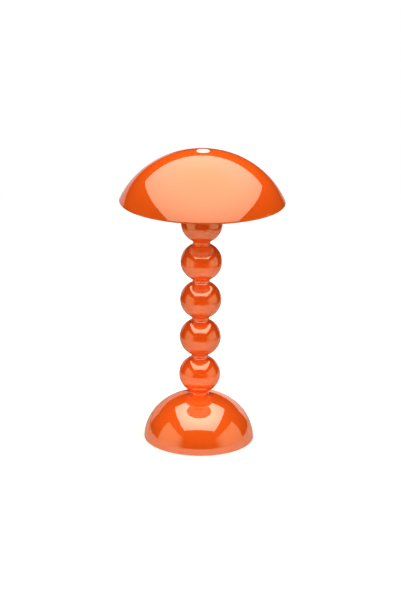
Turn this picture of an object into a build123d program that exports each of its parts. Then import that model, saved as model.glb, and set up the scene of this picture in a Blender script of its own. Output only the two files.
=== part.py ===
from build123d import *
import math
import os

# Cordless table lamp: a domed base, five lacquered balls on a threaded tube, and a domed shade.
# Millimetres. The origin is the bottom centre of the foot, +Z is up and the charging port faces +Y.

# Driving dimensions of the outside
foot_gap = 0.8
base_rim_r = 55.65
base_dome_h = 48.3
base_centre_z = -0.7
base_wall = 1.8
ball_r = 20.75
ball_h = 35.0
ball_pitch = 39.5
ball_count = 5
first_ball_z = 68.0
neck_r = 9.52
collar_waist_depth = 0.9
shade_rim_r = 82.5
shade_rim_z = 248.1
shade_dome_h = 83.7
shade_centre_z = 215.9
shade_wall = 1.2
shade_crown_r = 7.5
shade_semi_r = shade_rim_r / math.sqrt(1 - ((shade_rim_z - shade_centre_z) / shade_dome_h) ** 2)
button_r = 4.5
button_travel = 0.6

# Threaded tube that clamps the column
tube_r = 4.9
tube_bore_r = 3.5
tube_low_z = 36.0
tube_high_z = 276.5
column_bore_r = 5.1
base_seat_r = 9.9
base_underside_r = 10.4
nut_across_flats = 15.0
nut_h = 5.0
washer_h = 1.5

# Fasteners: shank radius, the hole it passes through and its head
m3_r = 1.5
m3_clear_r = 1.6
m3_head_r = 2.8
m25_r = 1.25
m25_clear_r = 1.4
m25_head_r = 2.3
m2_r = 1.0
m2_clear_r = 1.1
m2_head_r = 1.8

# Foot and chassis inside the base
tray_low_z = 0.9
tray_high_z = 3.4
tray_r = 53.3
tray_screw_seat_z = 2.9
foot_inner_r = 47.5
foot_outer_r = 52.0
foot_high_z = 2.0
tab_circle_r = 42.0
tab_angles = (30, 150, 270)
tab_low_z = 5.0
tab_high_z = 6.5
tab_nut_high_z = 8.2
post_circle_r = 42.0
post_angles = (90, 210, 330)
ballast_r = 36.0
ballast_high_z = 8.4
deck_low_z = 8.5
deck_high_z = 10.5
deck_r = 38.0
cell_r = 9.2
cell_length = 65.0
tab_thickness = 0.3
cell_y = -18.0
cell_z = deck_high_z + 0.6 + cell_r
battery_wire_r = 0.75
board_low_z = 13.45
board_high_z = 15.05
plug_wire_z = 18.4
battery_plug_box = (4.5, 10.5, 6.5, 12.5)
battery_plug_high_z = 20.6
lamp_plug_box = (-3.0, 3.0, 13.0, 19.0)
lamp_plug_high_z = 21.6
plug_wall = 0.8
plug_mouth_depth = 1.6
plug_floor = 1.6
latch_h = 0.6
positive_x = 9.0
negative_x = 6.0
clamp_sheet = 1.5
board_screws_at = ((-14.5, 8.8), (14.5, 8.8), (-14.5, 32.5), (14.5, 32.5))

# Charging port
socket_w = 8.94
socket_h = 3.26
socket_wall = 0.35
socket_floor = 1.0
socket_back_y = 43.0
socket_mouth_y = 50.2
port_z = board_high_z + socket_h / 2
port_slot_w = 13.2
port_slot_h = 7.2
port_near_y = 40.0
port_far_y = 60.0

# Light head and crown
head_low_z = 248.0
head_r = 36.0
plate_low_z = 266.0
plate_high_z = 269.0
chip_circle_r = 22.0
chip_count = 12
led_screw_circle_r = 27.5
hub_screw_circle_r = 17.2
hub_angles = (90, 210, 330)
led_screw_angles = (30, 150, 270)
led_board_h = 1.6
upper_washer_h = 1.2
wire_hole_y = -11.3
hub_flange_h = 2.5
hub_bore_r = 5.55
switch_ledge_z = 284.5
switch_board_h = 1.0
plunger_r = 1.75
plunger_low_z = 286.4
plunger_high_z = 289.7
button_flange_z = 290.6
hub_high_z = 295.8
shade_seat_r = 12.0
bezel_r = 6.6
bezel_h = 0.5
sleeve_r = 5.5
sleeve_low_z = 291.8
lead_r = 1.6
lead_high_z = tube_high_z + 2.0
core_y = 0.8


def ellipse_height(r, semi_r, semi_h, centre_z):
    return centre_z + semi_h * math.sqrt(1 - (r / semi_r) ** 2)


def ellipse_arc(semi_r, semi_h, centre_z, low_z, high_r):
    """The part of an upright ellipse from height low_z up to radius high_r."""
    start = math.degrees(math.asin((low_z - centre_z) / semi_h))
    end = math.degrees(math.acos(high_r / semi_r))
    return EllipticalCenterArc((0, centre_z), semi_r, semi_h, start_angle=start, arc_size=end - start)


def turn(outline):
    """A solid of revolution about Z. The outline's x is the radius and its y the height."""
    return revolve(Plane.XZ * outline, axis=Axis.Z)


def turned(*points):
    return turn(Polygon(*points, align=None))


def cap(semi_r, semi_h, centre_z, low_z):
    """A solid dome, used to trim pieces to the curve of a shell."""
    arc = ellipse_arc(semi_r, semi_h, centre_z, low_z, 0)
    foot = arc @ 0
    return turn(make_face([arc, Line(arc @ 1, (0, low_z)), Line((0, low_z), foot)]))


def rod(r, z0, z1, x=0.0, y=0.0):
    return Pos(x, y, (z0 + z1) / 2) * Cylinder(r, z1 - z0)


def tube(outer_r, inner_r, z0, z1):
    return turned((inner_r, z0), (outer_r, z0), (outer_r, z1), (inner_r, z1))


def block(x0, x1, y0, y1, z0, z1):
    centre = Pos((x0 + x1) / 2, (y0 + y1) / 2, (z0 + z1) / 2)
    return centre * Box(x1 - x0, y1 - y0, z1 - z0)


def around(circle_r, angles):
    """The points on a circle about Z at these angles."""
    return [(circle_r * math.cos(math.radians(a)), circle_r * math.sin(math.radians(a))) for a in angles]


def racetrack(width, height, y0, y1):
    """A round-ended bar through the charging port's centre, along Y."""
    plane = Plane(origin=(0, y0, port_z), x_dir=(1, 0, 0), z_dir=(0, 1, 0))
    return extrude(plane * SlotOverall(width, height), amount=y1 - y0)


def hex_nut(across_flats, bore_r, z0, height):
    outline = RegularPolygon(across_flats / 2 / math.cos(math.radians(30)), 6) - Circle(bore_r)
    return extrude(Pos(0, 0, z0) * outline, amount=height)


def screw(shank_r, head_r, head_h, length, socket_across):
    """A hexagon socket screw with its head's seat at the origin and its shank pointing down."""
    body = turned((0, -length), (shank_r, -length), (shank_r, 0), (head_r, 0), (head_r, head_h), (0, head_h))
    key = RegularPolygon(socket_across / 2 / math.cos(math.radians(30)), 6)
    return body - extrude(Pos(0, 0, head_h * 0.4) * key, amount=head_h)


def m3_screw(length):
    return screw(m3_r, m3_head_r, head_h=1.6, length=length, socket_across=2.0)


def m25_screw(length):
    return screw(m25_r, m25_head_r, head_h=1.4, length=length, socket_across=1.5)


def m2_screw(length):
    return screw(m2_r, m2_head_r, head_h=1.2, length=length, socket_across=1.3)


def cable(points, bend, r):
    """A round wire along straight runs joined by arcs of radius bend."""
    path = FilletPolyline(*points, radius=bend)
    section = Plane(path @ 0, z_dir=path % 0) * Circle(r)
    return sweep(section, path=path)


def open_housing(box, high_z):
    """A plug housing on the board, open on the side where the wires don't enter."""
    x0, x1, y0, y1 = box
    floor_z = board_high_z + plug_floor
    ceiling_z = high_z - plug_floor / 2
    mouth = block(x0 + plug_wall, x1 - plug_wall, y1 - plug_mouth_depth, y1, floor_z, ceiling_z)
    return block(x0, x1, y0, y1, board_high_z, high_z) - mouth


def latch(box, high_z):
    """The small tongue on a plug's top that locks it."""
    x0, x1, y0, _ = box
    inset = 2.0
    return block(x0 + inset, x1 - inset, y0 + 1.2, y0 + 3.6, high_z, high_z + latch_h)


def group(solids):
    return Compound(children=[s.solid() for s in solids])


# Foot

def make_foot_ring():
    edge = 0.4
    return turned(
        (foot_inner_r, foot_high_z),
        (foot_inner_r, edge),
        (foot_inner_r + edge, 0),
        (foot_outer_r - edge, 0),
        (foot_outer_r, edge),
        (foot_outer_r, foot_high_z),
    )


def make_base_tray():
    groove_clearance = 0.1
    rib_low_r = ballast_r + 0.2
    rib_high_r = rib_low_r + 1.2
    rib_high_z = 6.0
    spoke_far_r = 50.0
    spoke_half_w = 0.6
    spoke_root = 0.4
    spoke_count = 12
    boss_r = 3.8
    post_r = 3.2
    post_hole_z = 4.4
    counterbore_r = m3_head_r + 0.3
    plate = turned(
        (0, tray_low_z),
        (foot_inner_r - groove_clearance, tray_low_z),
        (foot_inner_r - groove_clearance, foot_high_z),
        (foot_outer_r + groove_clearance, foot_high_z),
        (foot_outer_r + groove_clearance, tray_low_z),
        (tray_r, tray_low_z),
        (tray_r, tray_high_z),
        (0, tray_high_z),
    )
    tray = plate + tube(rib_high_r, rib_low_r, tray_high_z, rib_high_z)
    spoke_near_r = rib_high_r - spoke_root
    spoke_high_z = tab_low_z - groove_clearance
    spoke = block(spoke_near_r, spoke_far_r, -spoke_half_w, spoke_half_w, tray_high_z, spoke_high_z)
    tray += [Rot(0, 0, 360 / spoke_count * i) * spoke for i in range(spoke_count)]
    tray += [rod(boss_r, tray_high_z, tab_low_z, x, y) for x, y in around(tab_circle_r, tab_angles)]
    tray += [rod(post_r, tray_high_z, deck_low_z, x, y) for x, y in around(post_circle_r, post_angles)]
    for x, y in around(tab_circle_r, tab_angles):
        tray -= rod(m3_clear_r, tray_low_z, tab_low_z, x, y)
        tray -= rod(counterbore_r, tray_low_z, tray_screw_seat_z, x, y)
    for x, y in around(post_circle_r, post_angles):
        tray -= rod(m25_r, post_hole_z, deck_low_z, x, y)
    return tray


def make_tray_screws():
    screw_up = Rot(180, 0, 0) * m3_screw(length=5.2)
    return group([Pos(x, y, tray_screw_seat_z) * screw_up for x, y in around(tab_circle_r, tab_angles)])


def make_ballast_disc():
    edge = 0.8
    centre_hole_r = 5.0
    return turned(
        (centre_hole_r, tray_high_z),
        (ballast_r - edge, tray_high_z),
        (ballast_r, tray_high_z + edge),
        (ballast_r, ballast_high_z - edge),
        (ballast_r - edge, ballast_high_z),
        (centre_hole_r, ballast_high_z),
    )


# Chassis: battery and charging board

def make_chassis_deck():
    ear_r = 4.0
    ear_root_r = 30.0
    saddle_x = 20.0
    saddle_w = 2.4
    saddle_half_l = 11.0
    saddle_high_z = 17.0
    standoff_r = 2.6
    deck = rod(deck_r, deck_low_z, deck_high_z)
    ear = block(ear_root_r, post_circle_r, -ear_r, ear_r, deck_low_z, deck_high_z)
    ear += rod(ear_r, deck_low_z, deck_high_z, post_circle_r)
    deck += [Rot(0, 0, a) * ear for a in post_angles]
    saddle_ends = (cell_y - saddle_half_l, cell_y + saddle_half_l)
    saddle = block(-saddle_w / 2, saddle_w / 2, *saddle_ends, deck_high_z, saddle_high_z)
    deck += [Pos(x, 0, 0) * saddle for x in (-saddle_x, saddle_x)]
    deck -= Pos(0, cell_y, cell_z) * Rot(0, 90, 0) * Cylinder(cell_r + 0.05, 3 * saddle_x)
    deck += [rod(standoff_r, deck_high_z, board_low_z, x, y) for x, y in board_screws_at]
    for x, y in board_screws_at:
        deck -= rod(m2_r, deck_low_z, board_low_z, x, y)
    for x, y in around(post_circle_r, post_angles):
        deck -= rod(m25_clear_r, deck_low_z, deck_high_z, x, y)
    for y in clamp_screws_y():
        deck -= rod(m25_r, deck_low_z, deck_high_z, 0, y)
    return deck


def clamp_screws_y():
    reach = cell_r + 4.3
    return (cell_y - reach, cell_y + reach)


def make_deck_screws():
    deck_screw = m25_screw(length=6.0)
    return group([Pos(x, y, deck_high_z) * deck_screw for x, y in around(post_circle_r, post_angles)])


def make_battery_cell():
    edge = 0.4
    groove_z = 60.4
    groove_depth = 0.5
    shoulder_z = 64.4
    cap_r = 2.8
    profile = turned(
        (0, 0),
        (cell_r - edge, 0),
        (cell_r, edge),
        (cell_r, groove_z),
        (cell_r - groove_depth, groove_z + groove_depth),
        (cell_r - groove_depth, groove_z + 2 * groove_depth),
        (cell_r, groove_z + 3 * groove_depth),
        (cell_r, shoulder_z - edge),
        (cell_r - edge, shoulder_z),
        (cap_r + 0.2, shoulder_z),
        (cap_r, cell_length),
        (0, cell_length),
    )
    return Pos(-cell_length / 2, cell_y, cell_z) * Rot(0, 90, 0) * profile


def make_battery_tabs():
    half_w = 4.0
    low_z = 16.0
    tabs = []
    for side in (-1, 1):
        near = side * cell_length / 2
        far = near + side * tab_thickness
        ends = (min(near, far), max(near, far))
        tabs.append(block(*ends, cell_y - half_w, cell_y + half_w, low_z, cell_z + half_w))
    return group(tabs)


def make_battery_clamp():
    half_w = 6.0
    inner_r = cell_r + 0.1
    outer_r = inner_r + clamp_sheet
    foot_y = cell_r + 6.9
    foot_high_z = deck_high_z + clamp_sheet
    across = Pos(0, cell_y, cell_z) * Rot(0, 90, 0)
    strap = across * Cylinder(outer_r, 2 * half_w)
    strap += block(-half_w, half_w, cell_y - outer_r, cell_y + outer_r, deck_high_z, cell_z)
    strap += block(-half_w, half_w, cell_y - foot_y, cell_y + foot_y, deck_high_z, foot_high_z)
    strap -= across * Cylinder(inner_r, 3 * half_w)
    strap -= block(-half_w, half_w, cell_y - inner_r, cell_y + inner_r, deck_high_z, cell_z)
    strap -= block(-half_w, half_w, cell_y - foot_y, cell_y + foot_y, deck_low_z - clamp_sheet, deck_high_z)
    for y in clamp_screws_y():
        strap -= rod(m25_clear_r, deck_high_z, foot_high_z, 0, y)
    return strap


def make_clamp_screws():
    return group([Pos(0, y, deck_high_z + clamp_sheet) * m25_screw(length=3.4) for y in clamp_screws_y()])


def make_positive_lead():
    """From the cell's right-hand tab, past the cell and back to the plug."""
    tab_x = cell_length / 2 + tab_thickness + battery_wire_r
    past_cell_y = -7.0
    turn_y = -1.5
    points = [
        (tab_x, cell_y, plug_wire_z),
        (tab_x, past_cell_y, plug_wire_z),
        (positive_x, turn_y, plug_wire_z),
        (positive_x, battery_plug_box[2], plug_wire_z),
    ]
    return cable(points, bend=3.0, r=battery_wire_r)


def make_negative_lead():
    """From the cell's left-hand tab, low past the lamp's own plug and up to the battery plug."""
    tab_x = cell_length / 2 + tab_thickness + battery_wire_r
    low_z = plug_wire_z - 4.0
    past_cell_y = -3.5
    middle_y = 0.2
    rise_y = 3.6
    points = [
        (-tab_x, cell_y, plug_wire_z),
        (-tab_x, past_cell_y, low_z),
        (0, middle_y, low_z),
        (negative_x, rise_y, plug_wire_z),
        (negative_x, battery_plug_box[2], plug_wire_z),
    ]
    return cable(points, bend=2.2, r=battery_wire_r)


def make_battery_plug():
    housing = open_housing(battery_plug_box, battery_plug_high_z)
    return housing + latch(battery_plug_box, battery_plug_high_z)


def make_control_board():
    half_w = 17.0
    front_y = 6.0
    back_y = 36.0
    tongue_half_w = 6.5
    tongue_y = 48.2
    board = block(-half_w, half_w, front_y, back_y, board_low_z, board_high_z)
    board += block(-tongue_half_w, tongue_half_w, back_y, tongue_y, board_low_z, board_high_z)
    for x, y in board_screws_at:
        board -= rod(m2_clear_r, board_low_z, board_high_z, x, y)
    return board


def component(x, y, width, depth, height):
    """A part on the board, centred at (x, y)."""
    half_w = width / 2
    half_d = depth / 2
    return block(x - half_w, x + half_w, y - half_d, y + half_d, board_high_z, board_high_z + height)


def make_board_components():
    inductor = component(-9.0, 24.5, width=7.0, depth=7.0, height=3.6)
    charger_chip = component(1.0, 26.5, width=5.0, depth=5.0, height=0.9)
    driver_chip = component(9.0, 20.0, width=5.0, depth=4.0, height=1.2)
    protection_chip = component(7.5, 29.5, width=4.0, depth=3.0, height=1.0)
    capacitor = Pos(-9.0, 14.5, 0) * rod(2.5, board_high_z, board_high_z + 5.4)
    return group([inductor, charger_chip, driver_chip, protection_chip, capacitor])


def make_board_screws():
    return group([Pos(x, y, board_high_z) * m2_screw(length=4.4) for x, y in board_screws_at])


# Charging port

def make_usb_socket():
    shell = racetrack(socket_w, socket_h, socket_back_y, socket_mouth_y)
    cavity_w = socket_w - 2 * socket_wall
    cavity_h = socket_h - 2 * socket_wall
    return shell - racetrack(cavity_w, cavity_h, socket_back_y + socket_floor, socket_mouth_y)


def make_usb_tongue():
    half_w = 3.35
    half_h = 0.35
    ends = (socket_back_y + socket_floor, socket_mouth_y - 1.1)
    return block(-half_w, half_w, *ends, port_z - half_h, port_z + half_h)


def port_cone(offset):
    """A solid cone that lies this far outside the dome where the port is, and has its slope there."""
    rise = port_z - base_centre_z
    touch_r = base_rim_r * math.sqrt(1 - (rise / base_dome_h) ** 2)
    lean = (base_rim_r / base_dome_h) ** 2 * rise / touch_r
    half_h = 8.0
    r = touch_r + offset * math.sqrt(1 + lean**2)
    foot = (r + lean * half_h, port_z - half_h)
    head = (r - lean * half_h, port_z + half_h)
    return turned((0, port_z - half_h), foot, head, (0, port_z + half_h))


def make_port_surround():
    """The moulded frame of the port. It fills the slot in the dome and has a flange behind it."""
    proud = 0.3
    slot_gap = 0.1
    flange_reach = 1.7
    flange_face = base_wall + 0.75
    flange_back = flange_face + 1.1
    mouth_w = socket_w + 0.46
    mouth_h = socket_h + 0.44
    ends = (port_near_y, port_far_y)
    collar = racetrack(port_slot_w - 2 * slot_gap, port_slot_h - 2 * slot_gap, *ends) & port_cone(proud)
    flange_w = port_slot_w + 2 * flange_reach
    flange_h = port_slot_h + 2 * flange_reach
    flange = racetrack(flange_w, flange_h, *ends) & port_cone(-flange_face)
    return collar + flange - port_cone(-flange_back) - racetrack(mouth_w, mouth_h, *ends)


# Base shell

def base_underside_z():
    return ellipse_height(base_underside_r, base_rim_r - base_wall, base_dome_h - base_wall, base_centre_z)


def base_crown_z():
    return ellipse_height(base_seat_r, base_rim_r, base_dome_h, base_centre_z)


def make_base_shell():
    outer = ellipse_arc(base_rim_r, base_dome_h, base_centre_z, foot_gap, base_seat_r)
    inner_size = (base_rim_r - base_wall, base_dome_h - base_wall)
    inner = ellipse_arc(*inner_size, base_centre_z, foot_gap, base_underside_r)
    bore_top = (column_bore_r, base_crown_z())
    bore_foot = (column_bore_r, base_underside_z())
    outline = make_face([
        outer,
        Line(outer @ 1, bore_top),
        Line(bore_top, bore_foot),
        Line(bore_foot, inner @ 1),
        inner,
        Line(inner @ 0, outer @ 0),
    ])
    return turn(outline) - racetrack(port_slot_w, port_slot_h, port_near_y, port_far_y)


def make_fixing_tabs():
    half_w = 6.0
    sheet = 1.5
    plate_near_r = 38.4
    far_r = base_rim_r
    leg_high_z = 14.0
    nut_r = 2.8
    weld_gap = base_wall + 0.02
    leg_inside = weld_gap + sheet
    inside = cap(base_rim_r - weld_gap, base_dome_h - weld_gap, base_centre_z, tray_high_z)
    hollow = cap(base_rim_r - leg_inside, base_dome_h - leg_inside, base_centre_z, tray_high_z)
    plate = block(plate_near_r, far_r, -half_w, half_w, tab_low_z, tab_high_z) & inside
    upright = (block(tab_circle_r, far_r, -half_w, half_w, tab_high_z, leg_high_z) & inside) - hollow
    clinch_nut = rod(nut_r, tab_high_z, tab_nut_high_z, tab_circle_r)
    tab = plate + upright + clinch_nut - rod(m3_r, tab_low_z, tab_nut_high_z, tab_circle_r)
    return group([Rot(0, 0, a) * tab for a in tab_angles])


# Column

def make_lower_washer():
    washer_r = 10.0
    return tube(washer_r, column_bore_r, base_underside_z() - washer_h, base_underside_z())


def make_lower_nut():
    return hex_nut(nut_across_flats, tube_r, base_underside_z() - washer_h - nut_h, nut_h)


def make_tie_tube():
    edge = 0.6
    return turned(
        (tube_bore_r, tube_low_z),
        (tube_r - edge, tube_low_z),
        (tube_r, tube_low_z + edge),
        (tube_r, tube_high_z - edge),
        (tube_r - edge, tube_high_z),
        (tube_bore_r, tube_high_z),
    )


def make_grommet(end_z, up):
    """A flanged bush in one end of the tube. up is 1 at the top end and -1 at the bottom end."""
    flange_h = 1.1
    neck_length = 3.0
    edge = 0.5
    flange_z = end_z + up * flange_h
    neck_z = end_z - up * neck_length
    return turned(
        (lead_r, neck_z),
        (tube_bore_r, neck_z),
        (tube_bore_r, end_z),
        (tube_r, end_z),
        (tube_r - edge, flange_z),
        (lead_r, flange_z),
    )


def make_lamp_lead():
    points = [(0, 0, lead_high_z), (0, 0, plug_wire_z), (0, lamp_plug_box[2], plug_wire_z)]
    return cable(points, bend=9.0, r=lead_r)


def make_lamp_plug():
    return open_housing(lamp_plug_box, lamp_plug_high_z) + latch(lamp_plug_box, lamp_plug_high_z)


def ball_centre_z(index):
    return first_ball_z + index * ball_pitch


def make_ball(index):
    flat = ball_h / 2
    outline = make_face([
        ThreePointArc((neck_r, -flat), (ball_r, 0), (neck_r, flat)),
        Line((neck_r, flat), (column_bore_r, flat)),
        Line((column_bore_r, flat), (column_bore_r, -flat)),
        Line((column_bore_r, -flat), (neck_r, -flat)),
    ])
    return Pos(0, 0, ball_centre_z(index)) * turn(outline)


def make_collar(index):
    """The waisted spacer under ball number index. The last one lies under the light head."""
    low_z = base_crown_z() if index == 0 else ball_centre_z(index - 1) + ball_h / 2
    high_z = head_low_z if index == ball_count else ball_centre_z(index) - ball_h / 2
    waist = (neck_r - collar_waist_depth, (low_z + high_z) / 2)
    return turn(make_face([
        ThreePointArc((neck_r, low_z), waist, (neck_r, high_z)),
        Line((neck_r, high_z), (column_bore_r, high_z)),
        Line((column_bore_r, high_z), (column_bore_r, low_z)),
        Line((column_bore_r, low_z), (neck_r, low_z)),
    ]))


# Light head

def make_head_cup():
    rim_low_z = 256.0
    rim_wall = 1.4
    fin_near_r = 22.0
    fin_far_r = head_r - 0.6
    fin_half_w = 0.75
    fin_high_z = 273.0
    fin_count = 16
    hole_floor = 0.4
    wire_hole_r = 1.5
    cup = turned(
        (column_bore_r, head_low_z),
        (neck_r, head_low_z),
        (neck_r, plate_low_z),
        (head_r - rim_wall, plate_low_z),
        (head_r - rim_wall, rim_low_z),
        (head_r, rim_low_z),
        (head_r, plate_high_z),
        (column_bore_r, plate_high_z),
    )
    fin = block(fin_near_r, fin_far_r, -fin_half_w, fin_half_w, plate_high_z, fin_high_z)
    cup += [Rot(0, 0, 360 / fin_count * i) * fin for i in range(fin_count)]
    for x, y in around(hub_screw_circle_r, hub_angles):
        cup -= rod(m25_r, plate_low_z + hole_floor, plate_high_z, x, y)
    for x, y in around(led_screw_circle_r, led_screw_angles):
        cup -= rod(m25_r, plate_low_z, plate_high_z - hole_floor, x, y)
    return cup - rod(wire_hole_r, plate_low_z, plate_high_z, 0, wire_hole_y)


def make_led_board():
    outer_r = 31.0
    inner_r = 10.0
    board = tube(outer_r, inner_r, plate_low_z - led_board_h, plate_low_z)
    for x, y in around(led_screw_circle_r, led_screw_angles):
        board -= rod(m25_clear_r, plate_low_z - led_board_h, plate_low_z, x, y)
    return board


def make_led_chips():
    half = 1.4
    chip_h = 0.8
    top = plate_low_z - led_board_h
    chip = block(chip_circle_r - half, chip_circle_r + half, -half, half, top - chip_h, top)
    return group([Rot(0, 0, 360 / chip_count * (i + 0.5)) * chip for i in range(chip_count)])


def make_led_screws():
    seat_z = plate_low_z - led_board_h
    screw_up = Rot(180, 0, 0) * m25_screw(length=3.8)
    return group([Pos(x, y, seat_z) * screw_up for x, y in around(led_screw_circle_r, led_screw_angles)])


def make_diffuser():
    outer_r = 34.5
    stem_hole_r = 10.1
    wall = 1.4
    low_z = 254.2
    high_z = 262.0
    edge = 2.0
    inner_edge = edge - 2 * wall * (1 - math.sqrt(0.5))
    return turned(
        (stem_hole_r, low_z),
        (outer_r - edge, low_z),
        (outer_r, low_z + edge),
        (outer_r, high_z),
        (outer_r - wall, high_z),
        (outer_r - wall, low_z + wall + inner_edge),
        (outer_r - wall - inner_edge, low_z + wall),
        (stem_hole_r, low_z + wall),
    )


def make_upper_washer():
    washer_r = 9.0
    return tube(washer_r, column_bore_r, plate_high_z, plate_high_z + upper_washer_h)


def make_upper_nut():
    return hex_nut(nut_across_flats, tube_r, plate_high_z + upper_washer_h, nut_h)


def make_crown_hub():
    """The post that carries the shade on the light head, with the switch in its upper bore."""
    flange_r = 19.8
    flange_high_z = plate_high_z + hub_flange_h
    body_r = 14.2
    root = 0.6
    chamber_r = 12.8
    chamber_high_z = 280.6
    shoulder_z = 282.0
    stem_r = 8.2
    stem_low_z = 288.0
    stem_high_z = 291.0
    seat_low_z = 294.0
    wire_bore_r = 3.6
    hub = turned(
        (chamber_r, plate_high_z),
        (flange_r, plate_high_z),
        (flange_r, flange_high_z),
        (body_r + root, flange_high_z),
        (body_r, flange_high_z + root),
        (body_r, shoulder_z),
        (stem_r, stem_low_z),
        (stem_r, stem_high_z),
        (shade_seat_r, seat_low_z),
        (shade_seat_r, hub_high_z),
        (hub_bore_r, hub_high_z),
        (hub_bore_r, switch_ledge_z),
        (wire_bore_r, switch_ledge_z),
        (wire_bore_r, chamber_high_z),
        (chamber_r, chamber_high_z),
    )
    for x, y in around(hub_screw_circle_r, hub_angles):
        hub -= rod(m25_clear_r, plate_high_z, flange_high_z, x, y)
    return hub


def make_hub_screws():
    seat_z = plate_high_z + hub_flange_h
    hub_screw = m25_screw(length=5.0)
    return group([Pos(x, y, seat_z) * hub_screw for x, y in around(hub_screw_circle_r, hub_angles)])


def make_led_wires():
    """A flat twin lead from the end of the lamp lead, through the plate, to the top of the LED board."""
    width = 2.2
    thickness = 1.0
    run_z = lead_high_z + 1.4
    path = FilletPolyline(
        (0, -core_y, lead_high_z),
        (0, -core_y, run_z),
        (0, wire_hole_y, run_z),
        (0, wire_hole_y, plate_low_z),
        radius=0.9,
    )
    section = Plane(path @ 0, x_dir=(1, 0, 0), z_dir=path % 0) * SlotOverall(width, thickness)
    return sweep(section, path=path)


# Shade and push button

def shade_crown_z():
    return ellipse_height(shade_crown_r, shade_semi_r, shade_dome_h, shade_centre_z)


def shade_underside_z():
    return ellipse_height(shade_crown_r, shade_semi_r - shade_wall, shade_dome_h - shade_wall, shade_centre_z)


def make_shade():
    hem_h = 2.6
    hem_depth = 0.9
    hem_slope_h = 0.9
    inner_size = (shade_semi_r - shade_wall, shade_dome_h - shade_wall)
    hole_r = sleeve_r + 0.15
    outer = ellipse_arc(shade_semi_r, shade_dome_h, shade_centre_z, shade_rim_z, shade_crown_r)
    inner = ellipse_arc(*inner_size, shade_centre_z, shade_rim_z + hem_h, shade_crown_r)
    hem_top = (inner @ 0) - Vector(hem_depth, hem_slope_h)
    hem_foot = (shade_rim_r - shade_wall - hem_depth, shade_rim_z)
    outline = make_face([
        outer,
        Line(outer @ 1, (hole_r, shade_crown_z())),
        Line((hole_r, shade_crown_z()), (hole_r, shade_underside_z())),
        Line((hole_r, shade_underside_z()), inner @ 1),
        inner,
        Line(inner @ 0, hem_top),
        Line(hem_top, hem_foot),
        Line(hem_foot, outer @ 0),
    ])
    return turn(outline)


def make_shade_washer():
    size = (shade_semi_r - shade_wall, shade_dome_h - shade_wall)
    edge_z = ellipse_height(shade_seat_r, *size, shade_centre_z)
    top = ellipse_arc(*size, shade_centre_z, edge_z, shade_crown_r)
    bore_r = sleeve_r + 0.1
    return turn(make_face([
        top,
        Line(top @ 1, (bore_r, shade_underside_z())),
        Line((bore_r, shade_underside_z()), (bore_r, hub_high_z)),
        Line((bore_r, hub_high_z), (shade_seat_r, hub_high_z)),
        Line((shade_seat_r, hub_high_z), top @ 0),
    ]))


def make_bezel_ring():
    crown_z = shade_crown_z()
    edge = 0.3
    chamfer = 0.2
    bore_r = button_r + 0.1
    return turned(
        (bore_r, sleeve_low_z),
        (sleeve_r, sleeve_low_z),
        (sleeve_r, crown_z),
        (bezel_r, crown_z),
        (bezel_r, crown_z + bezel_h - edge),
        (bezel_r - edge, crown_z + bezel_h),
        (bore_r + chamfer, crown_z + bezel_h),
        (bore_r, crown_z + bezel_h - chamfer),
    )


def make_power_button():
    recess = 0.1
    top_z = shade_crown_z() + bezel_h - recess
    edge = 0.35
    pin_r = 2.0
    flange_r = 5.2
    flange_high_z = sleeve_low_z - 0.05
    return turned(
        (0, plunger_high_z),
        (pin_r, plunger_high_z),
        (pin_r, button_flange_z),
        (flange_r, button_flange_z),
        (flange_r, flange_high_z),
        (button_r, flange_high_z),
        (button_r, top_z - edge),
        (button_r - edge, top_z),
        (0, top_z),
    )


def make_switch_plunger():
    return rod(plunger_r, plunger_low_z, plunger_high_z)


def make_tact_switch():
    half = 3.0
    low_z = switch_ledge_z + switch_board_h
    high_z = low_z + 3.1
    side_gap = 0.08
    end_gap = 0.1
    body = block(-half, half, -half, half, low_z, high_z)
    return body - rod(plunger_r + side_gap, plunger_low_z - button_travel - end_gap, high_z)


def make_switch_board():
    bore_gap = 0.1
    return rod(hub_bore_r - bore_gap, switch_ledge_z, switch_ledge_z + switch_board_h)


def make_switch_wires():
    core_r = 0.4
    core_x = 0.6
    return group([rod(core_r, lead_high_z, switch_ledge_z, x, core_y) for x in (-core_x, core_x)])


parts = {
    "foot_ring": make_foot_ring(),
    "base_tray": make_base_tray(),
    "tray_screws": make_tray_screws(),
    "ballast_disc": make_ballast_disc(),
    "chassis_deck": make_chassis_deck(),
    "deck_screws": make_deck_screws(),
    "battery_cell": make_battery_cell(),
    "battery_tabs": make_battery_tabs(),
    "battery_clamp": make_battery_clamp(),
    "clamp_screws": make_clamp_screws(),
    "positive_lead": make_positive_lead(),
    "negative_lead": make_negative_lead(),
    "battery_plug": make_battery_plug(),
    "control_board": make_control_board(),
    "board_components": make_board_components(),
    "board_screws": make_board_screws(),
    "usb_socket": make_usb_socket(),
    "usb_tongue": make_usb_tongue(),
    "port_surround": make_port_surround(),
    "lamp_plug": make_lamp_plug(),
    "base_shell": make_base_shell(),
    "fixing_tabs": make_fixing_tabs(),
    "lower_washer": make_lower_washer(),
    "lower_nut": make_lower_nut(),
    "tie_tube": make_tie_tube(),
    "lower_grommet": make_grommet(tube_low_z, -1),
    "upper_grommet": make_grommet(tube_high_z, 1),
    "lamp_lead": make_lamp_lead(),
    "head_cup": make_head_cup(),
    "led_board": make_led_board(),
    "led_chips": make_led_chips(),
    "led_screws": make_led_screws(),
    "led_wires": make_led_wires(),
    "diffuser": make_diffuser(),
    "upper_washer": make_upper_washer(),
    "upper_nut": make_upper_nut(),
    "crown_hub": make_crown_hub(),
    "hub_screws": make_hub_screws(),
    "shade": make_shade(),
    "shade_washer": make_shade_washer(),
    "bezel_ring": make_bezel_ring(),
    "power_button": make_power_button(),
    "switch_plunger": make_switch_plunger(),
    "tact_switch": make_tact_switch(),
    "switch_board": make_switch_board(),
    "switch_wires": make_switch_wires(),
}
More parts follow.
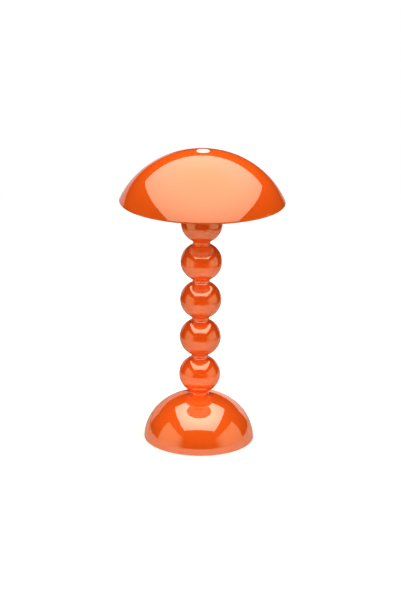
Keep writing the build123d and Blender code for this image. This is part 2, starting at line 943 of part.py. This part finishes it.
for number in range(ball_count):
    parts[f"ball_{number + 1}"] = make_ball(number)
for number in range(ball_count + 1):
    parts[f"collar_{number + 1}"] = make_collar(number)

os.makedirs("parts", exist_ok=True)
for node, shape in parts.items():
    export_step(shape, f"parts/{node}.step")
print(f"{len(parts)} nodes written")
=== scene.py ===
import math

import bmesh
import bpy
from mathutils import Matrix, Vector


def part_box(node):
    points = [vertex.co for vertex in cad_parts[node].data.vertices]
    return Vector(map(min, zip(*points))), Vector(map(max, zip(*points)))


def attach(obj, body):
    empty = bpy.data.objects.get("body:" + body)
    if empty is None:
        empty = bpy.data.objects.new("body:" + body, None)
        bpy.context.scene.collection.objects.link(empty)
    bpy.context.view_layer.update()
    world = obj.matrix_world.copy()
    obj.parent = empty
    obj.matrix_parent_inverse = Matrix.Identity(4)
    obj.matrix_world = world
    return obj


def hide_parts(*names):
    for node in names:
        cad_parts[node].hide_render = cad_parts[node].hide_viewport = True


# Cordless table lamp. Metres, in the frame of the CAD model: +Z is up and the charging port faces +Y.

MM = 0.001
MICRON = 0.000001


# Sizes of the turned shapes, in millimetres

BASE_R = 55.65
BALL_R = 20.75
BALL_H = 35.0
BALL_COUNT = 5
NECK_R = 9.52
WAIST_DEPTH = 0.9
COLUMN_BORE_R = 5.1
SHADE_RIM_R = 82.5
SHADE_RIM_Z = 248.1
SHADE_SEMI_H = 83.7
SHADE_CENTRE_Z = 215.9
SHADE_WALL = 1.2
RIM_ROUND_R = 0.8
HEM_H = 2.6
HEM_DEPTH = 0.9
CROWN_FLAT_R = 7.5
CROWN_HOLE_R = 5.65

SHADE_RISE = SHADE_RIM_Z - SHADE_CENTRE_Z
SHADE_SEMI_R = SHADE_RIM_R / math.sqrt(1 - (SHADE_RISE / SHADE_SEMI_H) ** 2)


# How finely the turned shapes are divided, round the axis and along their arcs

SHADE_SEGMENTS = 256
SHADE_STEPS = 96
SHADE_INSIDE_STEPS = 56
RIM_STEPS = 6
COAT_SEGMENTS = 192
COAT_STEPS = 48
BALL_SEGMENTS = 144
BALL_STEPS = 56
COLLAR_SEGMENTS = 112
COLLAR_STEPS = 16
SHARP_EDGE_DEGREES = 32


# Node helpers

def map_range(owner, value, from_low, from_high, to_low, to_high, smooth=False):
    """A node of a material or world that moves a value to another range, on an S-curve if smooth."""
    made = owner.node_tree.nodes.new("ShaderNodeMapRange")
    if smooth:
        made.interpolation_type = "SMOOTHSTEP"
    made.inputs["From Min"].default_value = from_low
    made.inputs["From Max"].default_value = from_high
    made.inputs["To Min"].default_value = to_low
    made.inputs["To Max"].default_value = to_high
    owner.node_tree.links.new(value, made.inputs["Value"])
    return made.outputs["Result"]


def math_node(owner, operation):
    made = owner.node_tree.nodes.new("ShaderNodeMath")
    made.operation = operation
    return made


def distance_from_origin(owner):
    """How far a point is from its object's origin, in metres."""
    place = owner.node_tree.nodes.new("ShaderNodeTexCoord")
    distance = owner.node_tree.nodes.new("ShaderNodeVectorMath")
    distance.operation = "LENGTH"
    owner.node_tree.links.new(place.outputs["Object"], distance.inputs[0])
    return distance.outputs["Value"]


class Shader:
    """A material with a Principled surface, and short calls that add nodes to it."""

    def __init__(self, name, colour, **settings):
        self.material = bpy.data.materials.new(name)
        self.material.use_nodes = True
        self.nodes = self.material.node_tree.nodes
        self.link = self.material.node_tree.links.new
        self.surface = self.nodes["Principled BSDF"]
        self.surface.inputs["Base Color"].default_value = (*colour, 1)
        for key, value in settings.items():
            socket = key.replace("_", " ").title().replace("Ior", "IOR")
            self.surface.inputs[socket].default_value = value
        self.place = self.nodes.new("ShaderNodeTexCoord").outputs["Object"]

    def node(self, kind, **settings):
        made = self.nodes.new("ShaderNode" + kind)
        for key, value in settings.items():
            setattr(made, key, value)
        return made

    def noise(self, scale, detail=2.0, stretch=None):
        """A noise value from 0 to 1. The scale is in features per metre."""
        made = self.node("TexNoise")
        made.inputs["Scale"].default_value = scale
        made.inputs["Detail"].default_value = detail
        place = self.place
        if stretch:
            mapping = self.node("Mapping")
            mapping.inputs["Scale"].default_value = stretch
            self.link(self.place, mapping.inputs["Vector"])
            place = mapping.outputs["Vector"]
        self.link(place, made.inputs["Vector"])
        return made.outputs["Fac"]

    def spread(self, value, low, high, from_low=0.3, from_high=0.7):
        """The value moved to another range. Most of a noise lies between the two from values."""
        return map_range(self.material, value, from_low, from_high, low, high)

    def tint(self, value, colour_a, colour_b):
        """The base colour runs from one colour to another with a value."""
        made = self.node("Mix", data_type="RGBA")
        made.inputs["A"].default_value = (*colour_a, 1)
        made.inputs["B"].default_value = (*colour_b, 1)
        self.link(value, made.inputs["Factor"])
        self.link(made.outputs["Result"], self.surface.inputs["Base Color"])

    def roughness(self, value, low, high):
        self.link(self.spread(value, low, high), self.surface.inputs["Roughness"])

    def bump(self, value, depth, strength):
        """Relief of this depth in metres."""
        made = self.node("Bump")
        made.inputs["Distance"].default_value = depth
        made.inputs["Strength"].default_value = strength
        self.link(value, made.inputs["Height"])
        self.link(made.outputs["Normal"], self.surface.inputs["Normal"])


def scaled(values, factor):
    return tuple(value * factor for value in values)


# Materials, one function for each slot of the record, and one more for the shade: a darker, less
# reflective copy of the orange lacquer, painted shade that offsets the stronger light close under the
# softbox.
# Nodes vary each material's colour and roughness about the plain values that it starts with.

def lacquer(name, colour, ior, gloss_blue=0.62):
    """Mirror-gloss paint with a strong, slightly golden reflection and faint orange peel."""
    paint = Shader(name, colour, roughness=0.03, ior=ior)
    paint.surface.inputs["Specular Tint"].default_value = (1.0, 0.96, gloss_blue, 1)
    paint.tint(paint.spread(paint.noise(18), 0, 1), scaled(colour, 0.985), scaled(colour, 1.015))
    paint.roughness(paint.noise(60), 0.015, 0.03)
    paint.bump(paint.noise(220, 1.0), 3 * MICRON, 0.3)
    return paint.material


def orange_lacquer():
    return lacquer("orange_lacquer_gloss", (0.96, 0.108, 0.0066), ior=2.85, gloss_blue=0.72)


# The base's orange paint made darker and less reflective for the dome: painted shade against the near
# softbox, not a different paint.
def shade_lacquer():
    return lacquer("shade_lacquer_gloss", (0.88, 0.099, 0.0058), ior=2.2)


def ball_lacquer():
    return lacquer("ball_lacquer_gloss", (0.95, 0.086, 0.0052), ior=2.7)


def white_enamel():
    enamel = Shader("white_enamel_satin", (0.84, 0.84, 0.81), roughness=0.35, coat_weight=0.3)
    enamel.tint(enamel.noise(90, 3.0), (0.82, 0.82, 0.79), (0.86, 0.86, 0.83))
    enamel.roughness(enamel.noise(700), 0.3, 0.42)
    enamel.bump(enamel.noise(1300), 10 * MICRON, 0.4)
    return enamel.material


def black_silicone():
    rubber = Shader("black_silicone_matt", (0.018, 0.018, 0.019), roughness=0.8)
    rubber.tint(rubber.noise(400), (0.014, 0.014, 0.015), (0.03, 0.03, 0.031))
    rubber.roughness(rubber.noise(900), 0.7, 0.9)
    rubber.bump(rubber.noise(2500, 3.0), 40 * MICRON, 0.5)
    return rubber.material


def black_plastic():
    plastic = Shader("black_plastic_grained", (0.022, 0.022, 0.024), roughness=0.5)
    plastic.tint(plastic.noise(120), (0.019, 0.019, 0.021), (0.028, 0.028, 0.03))
    plastic.roughness(plastic.noise(1500), 0.42, 0.6)
    plastic.bump(plastic.noise(4500), 30 * MICRON, 0.6)
    return plastic.material


def zinc_steel():
    zinc = Shader("zinc_steel_plated", (0.66, 0.68, 0.7), metallic=1.0, roughness=0.3)
    zinc.tint(zinc.noise(160, 4.0), (0.6, 0.62, 0.64), (0.72, 0.73, 0.74))
    zinc.roughness(zinc.noise(700, 4.0), 0.22, 0.42)
    zinc.bump(zinc.noise(1800, 3.0), 15 * MICRON, 0.4)
    return zinc.material


def nickel_plate():
    nickel = Shader("nickel_plate_satin", (0.72, 0.69, 0.62), metallic=1.0, roughness=0.25)
    nickel.tint(nickel.noise(300, 3.0), (0.68, 0.65, 0.58), (0.76, 0.73, 0.66))
    nickel.roughness(nickel.noise(900, 3.0, stretch=(1, 12, 1)), 0.18, 0.34)
    nickel.bump(nickel.noise(2000, stretch=(1, 20, 1)), 10 * MICRON, 0.4)
    return nickel.material


def cell_wrap():
    film = Shader("cell_wrap_film", (0.01, 0.08, 0.3), roughness=0.25, coat_weight=0.4)
    film.tint(film.noise(90, 3.0), (0.009, 0.07, 0.27), (0.012, 0.09, 0.34))
    film.roughness(film.noise(260), 0.2, 0.35)
    film.bump(film.noise(180, 3.0, stretch=(1, 5, 5)), 60 * MICRON, 0.4)
    return film.material


def wire(name, colour):
    sheath = Shader(name, colour, roughness=0.35)
    sheath.tint(sheath.noise(250), scaled(colour, 0.9), scaled(colour, 1.1))
    sheath.roughness(sheath.noise(600), 0.3, 0.45)
    sheath.bump(sheath.noise(1500), 20 * MICRON, 0.4)
    return sheath.material


def red_wire():
    return wire("red_wire_sheath", (0.42, 0.015, 0.01))


def black_wire():
    return wire("black_wire_sheath", (0.02, 0.02, 0.02))


def white_wire():
    return wire("white_wire_sheath", (0.7, 0.7, 0.67))


def white_connector():
    nylon = Shader("white_connector_nylon", (0.74, 0.72, 0.63), roughness=0.45, subsurface_weight=0.2)
    nylon.surface.inputs["Subsurface Radius"].default_value = (0.001, 0.0009, 0.0007)
    nylon.tint(nylon.noise(200), (0.7, 0.68, 0.6), (0.77, 0.75, 0.66))
    nylon.roughness(nylon.noise(900), 0.38, 0.55)
    nylon.bump(nylon.noise(2500), 20 * MICRON, 0.4)
    return nylon.material


def circuit_board(name, mask, track):
    """Solder mask over copper tracks, which show as slightly lighter raised cells."""
    board = Shader(name, mask, roughness=0.35, coat_weight=0.3)
    cells = board.node("TexVoronoi", feature="DISTANCE_TO_EDGE", distance="CHEBYCHEV")
    cells.inputs["Scale"].default_value = 260
    board.link(board.place, cells.inputs["Vector"])
    copper = board.spread(cells.outputs["Distance"], 1, 0, from_low=0.06, from_high=0.09)
    board.tint(copper, mask, track)
    board.roughness(board.noise(800), 0.28, 0.42)
    board.bump(copper, 30 * MICRON, 0.6)
    return board.material


def green_board():
    return circuit_board("green_board_mask", (0.006, 0.07, 0.03), (0.02, 0.14, 0.06))


def white_board():
    return circuit_board("white_board_mask", (0.78, 0.78, 0.75), (0.84, 0.84, 0.81))


def led_phosphor():
    gel = Shader("led_phosphor_gel", (0.8, 0.55, 0.06), roughness=0.25, coat_weight=0.5)
    gel.tint(gel.noise(1800, 3.0), (0.74, 0.48, 0.05), (0.85, 0.62, 0.09))
    gel.roughness(gel.noise(1500), 0.2, 0.35)
    gel.bump(gel.noise(900), 40 * MICRON, 0.4)
    return gel.material


def cast_aluminium():
    cast = Shader("cast_aluminium_satin", (0.6, 0.6, 0.61), metallic=1.0, roughness=0.45)
    cast.tint(cast.noise(250, 4.0), (0.54, 0.54, 0.55), (0.66, 0.66, 0.67))
    cast.roughness(cast.noise(1200, 3.0), 0.38, 0.55)
    cast.bump(cast.noise(2600, 3.0), 40 * MICRON, 0.5)
    return cast.material


def opal_diffuser():
    opal = Shader("opal_diffuser_satin", (0.86, 0.85, 0.8), roughness=0.4, subsurface_weight=0.6)
    opal.surface.inputs["Subsurface Radius"].default_value = (0.004, 0.0038, 0.0034)
    opal.tint(opal.noise(60), (0.85, 0.84, 0.79), (0.88, 0.87, 0.82))
    opal.roughness(opal.noise(1100), 0.36, 0.48)
    opal.bump(opal.noise(3000), 20 * MICRON, 0.4)
    return opal.material


def polished_chrome():
    """The ring round the button, which has a pale pearl finish."""
    chrome = Shader("polished_chrome_pearl", (0.92, 0.88, 0.78), metallic=0.25, roughness=0.3)
    chrome.tint(chrome.noise(300), (0.9, 0.86, 0.76), (0.94, 0.9, 0.8))
    chrome.roughness(chrome.noise(1400, 3.0), 0.26, 0.36)
    chrome.bump(chrome.noise(900), 4 * MICRON, 0.3)
    return chrome.material


def button_white():
    """Gloss white moulding with the faint turned rings of its mould."""
    cap = Shader("button_white_gloss", (0.88, 0.88, 0.87), roughness=0.25, coat_weight=0.4)
    rings = cap.node("TexWave", wave_type="RINGS", rings_direction="Z")
    rings.inputs["Scale"].default_value = 900
    cap.link(cap.place, rings.inputs["Vector"])
    cap.tint(cap.noise(500), (0.86, 0.86, 0.85), (0.9, 0.9, 0.89))
    cap.roughness(cap.noise(1200), 0.2, 0.32)
    cap.bump(rings.outputs["Fac"], 6 * MICRON, 0.3)
    return cap.material


MAKERS = (
    orange_lacquer,
    shade_lacquer,
    ball_lacquer,
    white_enamel,
    black_silicone,
    black_plastic,
    zinc_steel,
    nickel_plate,
    cell_wrap,
    red_wire,
    black_wire,
    white_wire,
    white_connector,
    green_board,
    white_board,
    led_phosphor,
    cast_aluminium,
    opal_diffuser,
    polished_chrome,
    button_white,
)


# Turned pieces

def arc(centre_r, centre_z, semi_r, semi_h, start, end, count):
    """Points on an ellipse in the (radius, height) plane. Angles are in degrees from the outward side."""
    points = []
    for step in range(count + 1):
        angle = math.radians(start + (end - start) * step / count)
        points.append((centre_r + semi_r * math.cos(angle), centre_z + semi_h * math.sin(angle)))
    return points


def finish_piece(name, mesh, material, body):
    """The piece is smooth, with sharp edges where it turns a corner."""
    data = bpy.data.meshes.new(name)
    mesh.to_mesh(data)
    mesh.free()
    data.shade_smooth()
    data.set_sharp_from_angle(angle=math.radians(SHARP_EDGE_DEGREES))
    data.materials.append(material)
    piece = bpy.data.objects.new(name, data)
    bpy.context.scene.collection.objects.link(piece)
    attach(piece, body)
    return piece


def lathe(name, outline, material, segments):
    """A closed outline of (radius, height) points in millimetres, turned about Z."""
    mesh = bmesh.new()
    rings = []
    for r, z in outline:
        ring = []
        for step in range(segments):
            angle = 2 * math.pi * step / segments
            ring.append(mesh.verts.new((r * MM * math.cos(angle), r * MM * math.sin(angle), z * MM)))
        rings.append(ring)
    for low, high in zip(rings, rings[1:] + rings[:1]):
        for step in range(segments):
            after = (step + 1) % segments
            mesh.faces.new((low[step], low[after], high[after], high[step]))
    bmesh.ops.recalc_face_normals(mesh, faces=mesh.faces)
    return finish_piece(name, mesh, material, "lamp")


def dome_arc(inset, low_rise, top_r, count):
    """The dome's side, this far inside its outer face, from a height over its centre to a radius."""
    semi_r = SHADE_SEMI_R - inset
    semi_h = SHADE_SEMI_H - inset
    low = math.degrees(math.asin(low_rise / semi_h))
    high = math.degrees(math.acos(top_r / semi_r))
    return arc(0, SHADE_CENTRE_Z, semi_r, semi_h, low, high, count)


def make_shade(materials):
    """The spun dome, with a hemmed rim that is rounded at its foot and sloped at its lip."""
    lip_in = 0.35
    lip_drop = 0.1
    hem_drop = 0.75
    outer = dome_arc(0, SHADE_RISE + RIM_ROUND_R, CROWN_FLAT_R, SHADE_STEPS)
    inner = dome_arc(SHADE_WALL, SHADE_RISE + HEM_H, CROWN_FLAT_R, SHADE_INSIDE_STEPS)[::-1]
    hole = [(CROWN_HOLE_R, outer[-1][1]), (CROWN_HOLE_R, inner[0][1])]
    hem_r, hem_z = inner[-1]
    hem = [(hem_r - lip_in, hem_z - lip_drop), (hem_r - HEM_DEPTH, hem_z - hem_drop)]
    foot_in = SHADE_RIM_R - SHADE_WALL - HEM_DEPTH + RIM_ROUND_R
    foot_out = outer[0][0] - RIM_ROUND_R
    foot_z = SHADE_RIM_Z + RIM_ROUND_R
    rim = arc(foot_in, foot_z, RIM_ROUND_R, RIM_ROUND_R, -180, -90, RIM_STEPS)
    rim += arc(foot_out, foot_z, RIM_ROUND_R, RIM_ROUND_R, -90, -10, RIM_STEPS)
    outline = rim + outer + hole + inner + hem
    # The dome takes the darkened copy of the orange lacquer, a painted shade for the strong light close
    # above it.
    shade = lathe("shade_spun", outline, materials["shade_lacquer"], SHADE_SEGMENTS)
    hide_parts("shade")


def make_shade_inside(materials):
    """A coat of enamel on the dome's inner wall, sunk a little into it."""
    proud = 0.05
    sunk = 0.2
    margin = 0.3
    low_rise = SHADE_RISE + HEM_H + margin
    face = dome_arc(SHADE_WALL + proud, low_rise, CROWN_FLAT_R + margin, COAT_STEPS)
    back = dome_arc(SHADE_WALL - sunk, low_rise, CROWN_FLAT_R + margin, COAT_STEPS)
    enamel = materials["white_enamel"]
    lathe("shade_inside", face + back[::-1], enamel, COAT_SEGMENTS)


def make_balls(materials):
    """Each ball is turned from a bulging arc between two short flats."""
    flat = BALL_H / 2
    centre_r = (BALL_R ** 2 - NECK_R ** 2 - flat ** 2) / (2 * (BALL_R - NECK_R))
    arc_r = BALL_R - centre_r
    reach = math.degrees(math.asin(flat / arc_r))
    for index in range(BALL_COUNT):
        node = f"ball_{index + 1}"
        low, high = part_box(node)
        middle = (low.z + high.z) / 2 / MM
        outline = arc(centre_r, middle, arc_r, arc_r, -reach, reach, BALL_STEPS)
        outline += [(COLUMN_BORE_R, middle + flat), (COLUMN_BORE_R, middle - flat)]
        ball = lathe(f"turned_{node}", outline, materials["ball_lacquer"], BALL_SEGMENTS)
        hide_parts(node)


def make_collars(materials):
    """Each collar is waisted, with a hollow arc between two crisp edges."""
    lacquered = materials["orange_lacquer"]
    for index in range(BALL_COUNT + 1):
        node = f"collar_{index + 1}"
        low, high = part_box(node)
        half_h = (high.z - low.z) / 2 / MM
        middle = (high.z + low.z) / 2 / MM
        arc_r = (half_h ** 2 + WAIST_DEPTH ** 2) / (2 * WAIST_DEPTH)
        centre_r = NECK_R - WAIST_DEPTH + arc_r
        reach = math.degrees(math.asin(half_h / arc_r))
        outline = arc(centre_r, middle, arc_r, arc_r, 180 + reach, 180 - reach, COLLAR_STEPS)
        outline += [(COLUMN_BORE_R, middle + half_h), (COLUMN_BORE_R, middle - half_h)]
        collar = lathe(f"turned_{node}", outline, lacquered, COLLAR_SEGMENTS)
        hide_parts(node)


def make_button_mark(materials):
    """A generic power symbol, printed on the button: a ring with a gap and a short bar through it."""
    ring_r = 2.5
    half_line = 0.28
    half_gap = 32
    ring_steps = 48
    bar_low_y = 0.5
    bar_high_y = 3.2
    proud = 0.01
    ink_depth = 0.05
    button_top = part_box("power_button")[1]
    top_z = button_top.z + proud * MM
    ring = []
    for step in range(ring_steps + 1):
        angle = math.radians(90 + half_gap + (360 - 2 * half_gap) * step / ring_steps)
        across = (math.cos(angle), math.sin(angle))
        ring.append([scaled(across, r) for r in (ring_r - half_line, ring_r + half_line)])
    bar = [[(-half_line, y), (half_line, y)] for y in (bar_low_y, bar_high_y)]
    mesh = bmesh.new()
    for strip in (ring, bar):
        rows = [[mesh.verts.new((x * MM, y * MM, top_z)) for x, y in row] for row in strip]
        for before, after in zip(rows, rows[1:]):
            mesh.faces.new((before[0], before[1], after[1], after[0]))
    bmesh.ops.recalc_face_normals(mesh, faces=mesh.faces)
    extruded = bmesh.ops.extrude_face_region(mesh, geom=mesh.faces[:])
    moved = [item for item in extruded["geom"] if isinstance(item, bmesh.types.BMVert)]
    bmesh.ops.translate(mesh, verts=moved, vec=(0, 0, -ink_depth * MM))
    bmesh.ops.recalc_face_normals(mesh, faces=mesh.faces)
    finish_piece("button_mark", mesh, materials["black_plastic"], "button")


# Studio: a white table, low back walls, an overhead softbox, two side cards and soft spots

SOFTBOX_RADIANCE = 2.45
CARD_RADIANCE = 0.58
FILL_DISTANCE = 1.2
FILL_SOFT_R = 0.04
TABLE_FRONT_Y = -0.5
TABLE_REAR_Y = 0.9
TABLE_LEFT_X = -0.42
TABLE_RIGHT_X = 0.45
TABLE_HOLE_R = 0.05
STUDIO_DIMNESS = 0.01


def emission_material(name, colour, strength):
    material = bpy.data.materials.new(name)
    material.use_nodes = True
    nodes = material.node_tree.nodes
    nodes.clear()
    glow = nodes.new("ShaderNodeEmission")
    glow.inputs["Color"].default_value = (*colour, 1)
    glow.inputs["Strength"].default_value = strength
    output = nodes.new("ShaderNodeOutputMaterial")
    material.node_tree.links.new(glow.outputs["Emission"], output.inputs["Surface"])
    return material


def set_glow(material, strength):
    """The strength of an emission material follows a value of its nodes."""
    glow = material.node_tree.nodes["Emission"]
    material.node_tree.links.new(strength, glow.inputs["Strength"])


def stage_plane(name, corners, material):
    mesh = bpy.data.meshes.new(name)
    mesh.from_pydata(corners, [], [tuple(range(len(corners)))])
    mesh.materials.append(material)
    plane = bpy.data.objects.new(name, mesh)
    bpy.context.scene.collection.objects.link(plane)
    return plane


def make_softbox():
    """A rectangular softbox close above the lamp, which is brightest in its middle."""
    half_x = 0.365
    front_y = -0.43
    rear_y = 0.31
    full_r = 0.1
    dim_r = 0.5
    dim_share = 0.62
    material = emission_material("softbox_cloth", (1.0, 1.0, 1.0), SOFTBOX_RADIANCE)
    away = distance_from_origin(material)
    dim = dim_share * SOFTBOX_RADIANCE
    set_glow(material, map_range(material, away, full_r, dim_r, SOFTBOX_RADIANCE, dim, smooth=True))
    corners = [(-half_x, front_y, 0), (half_x, front_y, 0), (half_x, rear_y, 0), (-half_x, rear_y, 0)]
    softbox = stage_plane("softbox", corners, material)
    softbox.location = (0.015, -0.01, 0.49)
    softbox.visible_camera = False
    softbox.visible_shadow = False


def make_fill(name, azimuth, lift, aim_z, cone, watts):
    """A soft spot that lights a part of the lamp and makes no highlight.

    The azimuth is in degrees from the front, towards +X, and the lift is the rise for each metre out.
    """
    light = bpy.data.lights.new(name, "SPOT")
    light.energy = watts
    light.spot_size = math.radians(cone)
    light.spot_blend = 1.0
    light.shadow_soft_size = FILL_SOFT_R
    lamp = bpy.data.objects.new(name, light)
    target = Vector((0, 0, aim_z))
    turn = math.radians(azimuth)
    place = target + Vector((math.sin(turn), -math.cos(turn), lift)).normalized() * FILL_DISTANCE
    lamp.location = place
    lamp.rotation_euler = (target - place).to_track_quat("-Z", "Y").to_euler()
    lamp.visible_glossy = False
    lamp.visible_camera = False
    bpy.context.scene.collection.objects.link(lamp)


def make_fills():
    make_fill("base_fill_left", azimuth=-42, lift=0.35, aim_z=0.03, cone=7, watts=34)
    make_fill("base_fill_right", azimuth=32, lift=0.35, aim_z=0.03, cone=7, watts=33)
    make_fill("middle_fill", azimuth=0, lift=0.12, aim_z=0.13, cone=5, watts=34)
    make_fill("upper_fill", azimuth=0, lift=0.12, aim_z=0.192, cone=5, watts=20)
    make_fill("upper_fill_left", azimuth=-55, lift=0.12, aim_z=0.198, cone=4, watts=31)
    make_fill("upper_fill_right", azimuth=50, lift=0.12, aim_z=0.196, cone=4, watts=25)
    make_fill("back_fill", azimuth=180, lift=0.12, aim_z=0.11, cone=12, watts=45)
    make_fill("underside_fill", azimuth=0, lift=-2.5, aim_z=0, cone=14, watts=60)


def make_card(name, x, rear_y, front_y, height):
    """A pale card beside the lamp. Its light fades towards the camera."""
    full_share = 0.55
    material = emission_material(name, (1.0, 0.97, 0.67), CARD_RADIANCE)
    place = material.node_tree.nodes.new("ShaderNodeTexCoord")
    split = material.node_tree.nodes.new("ShaderNodeSeparateXYZ")
    material.node_tree.links.new(place.outputs["Object"], split.inputs["Vector"])
    full_y = front_y + full_share * (rear_y - front_y)
    along = split.outputs["Y"]
    set_glow(material, map_range(material, along, front_y, full_y, 0, CARD_RADIANCE, smooth=True))
    corners = [(x, rear_y, 0), (x, front_y, 0), (x, front_y, height), (x, rear_y, height)]
    card = stage_plane(name, corners, material)
    card.visible_camera = False
    card.visible_shadow = False


def table_material():
    """White paint that also glows towards the camera, more so away from the lamp.

    It is clear under the base and from below, so that the lamp's underside can be seen.
    """
    near_glow = 0.5
    far_glow = 1.0
    far_r = 0.3
    material = bpy.data.materials.new("white_table")
    material.use_nodes = True
    nodes = material.node_tree.nodes
    link = material.node_tree.links.new
    paint = nodes["Principled BSDF"]
    paint.inputs["Base Color"].default_value = (0.8, 0.79, 0.71, 1)
    paint.inputs["Roughness"].default_value = 0.9
    paint.inputs["Specular IOR Level"].default_value = 0.0
    paint.inputs["Emission Color"].default_value = (1, 1, 1, 1)
    away = distance_from_origin(material)

    seen = math_node(material, "MULTIPLY")
    link(nodes.new("ShaderNodeLightPath").outputs["Is Camera Ray"], seen.inputs[0])
    link(map_range(material, away, BASE_R * MM, far_r, near_glow, far_glow), seen.inputs[1])
    link(seen.outputs["Value"], paint.inputs["Emission Strength"])

    under_base = math_node(material, "LESS_THAN")
    under_base.inputs[1].default_value = TABLE_HOLE_R
    link(away, under_base.inputs[0])
    clear = math_node(material, "MAXIMUM")
    link(under_base.outputs["Value"], clear.inputs[0])
    link(nodes.new("ShaderNodeNewGeometry").outputs["Backfacing"], clear.inputs[1])
    mix = nodes.new("ShaderNodeMixShader")
    link(clear.outputs["Value"], mix.inputs["Fac"])
    link(paint.outputs["BSDF"], mix.inputs[1])
    link(nodes.new("ShaderNodeBsdfTransparent").outputs["BSDF"], mix.inputs[2])
    link(mix.outputs["Shader"], nodes["Material Output"].inputs["Surface"])
    return material


def make_table():
    corners = [
        (TABLE_LEFT_X, TABLE_FRONT_Y, 0),
        (TABLE_RIGHT_X, TABLE_FRONT_Y, 0),
        (TABLE_RIGHT_X, TABLE_REAR_Y, 0),
        (TABLE_LEFT_X, TABLE_REAR_Y, 0),
    ]
    stage_plane("table", corners, table_material())


def make_wall(name, left_x, right_x, y, left_height, right_height, strength):
    """A pale wall behind the lamp, which shows only in reflections."""
    material = emission_material(name, (1.0, 1.0, 1.0), strength)
    corners = [(left_x, y, 0), (right_x, y, 0), (right_x, y, right_height), (left_x, y, left_height)]
    wall = stage_plane(name, corners, material)
    wall.visible_camera = False
    wall.visible_diffuse = False
    wall.visible_shadow = False


def make_walls():
    make_wall(
        "left_wall",
        left_x=-0.78,
        right_x=-0.09,
        y=0.75,
        left_height=0.335,
        right_height=0.315,
        strength=0.56,
    )
    make_wall(
        "right_wall",
        left_x=0,
        right_x=0.3,
        y=0.35,
        left_height=0.13,
        right_height=0.13,
        strength=0.9,
    )
    make_wall(
        "far_wall",
        left_x=0.1,
        right_x=TABLE_RIGHT_X,
        y=TABLE_REAR_Y,
        left_height=0.2,
        right_height=0.2,
        strength=0.5,
    )


def make_world():
    """White where the camera looks past the table, and a dim studio for everything else."""
    world = bpy.data.worlds.new("studio")
    world.use_nodes = True
    bpy.context.scene.world = world
    background = world.node_tree.nodes["Background"]
    background.inputs["Color"].default_value = (1, 1, 1, 1)
    path = world.node_tree.nodes.new("ShaderNodeLightPath")
    level = map_range(world, path.outputs["Is Camera Ray"], 0, 1, STUDIO_DIMNESS, 1)
    world.node_tree.links.new(level, background.inputs["Strength"])


def make_camera():
    """It looks a little down on the lamp from the front, with a slight roll."""
    place = Vector((-0.0003, -1.9593, 0.7868))
    tilt_down = 0.3163
    roll = math.radians(0.9)
    data = bpy.data.cameras.new("camera")
    data.sensor_width = 36
    data.lens = 123.3
    camera = bpy.data.objects.new("camera", data)
    aim = Matrix.Rotation(math.pi / 2 - tilt_down, 4, "X") @ Matrix.Rotation(roll, 4, "Z")
    camera.matrix_world = Matrix.Translation(place) @ aim
    bpy.context.scene.collection.objects.link(camera)
    bpy.context.scene.camera = camera


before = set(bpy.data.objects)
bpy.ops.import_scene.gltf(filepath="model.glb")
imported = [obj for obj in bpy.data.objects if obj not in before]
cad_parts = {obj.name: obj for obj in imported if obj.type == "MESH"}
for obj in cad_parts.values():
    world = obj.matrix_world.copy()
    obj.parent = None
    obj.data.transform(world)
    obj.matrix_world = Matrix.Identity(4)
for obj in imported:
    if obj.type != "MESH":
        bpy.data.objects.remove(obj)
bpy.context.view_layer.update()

materials = {maker.__name__: maker() for maker in MAKERS}
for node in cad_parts.values():
    for held in node.material_slots:
        held.material = materials[held.material.name]

make_shade(materials)
make_shade_inside(materials)
make_balls(materials)
make_collars(materials)
make_button_mark(materials)

make_camera()
make_world()
make_softbox()
make_fills()
make_card("left_card", x=-0.43, rear_y=-0.005, front_y=-0.75, height=0.345)
make_card("right_card", x=0.58, rear_y=0.11, front_y=-0.9, height=0.41)
make_table()
make_walls()
bpy.context.scene.view_settings.view_transform = "Standard"
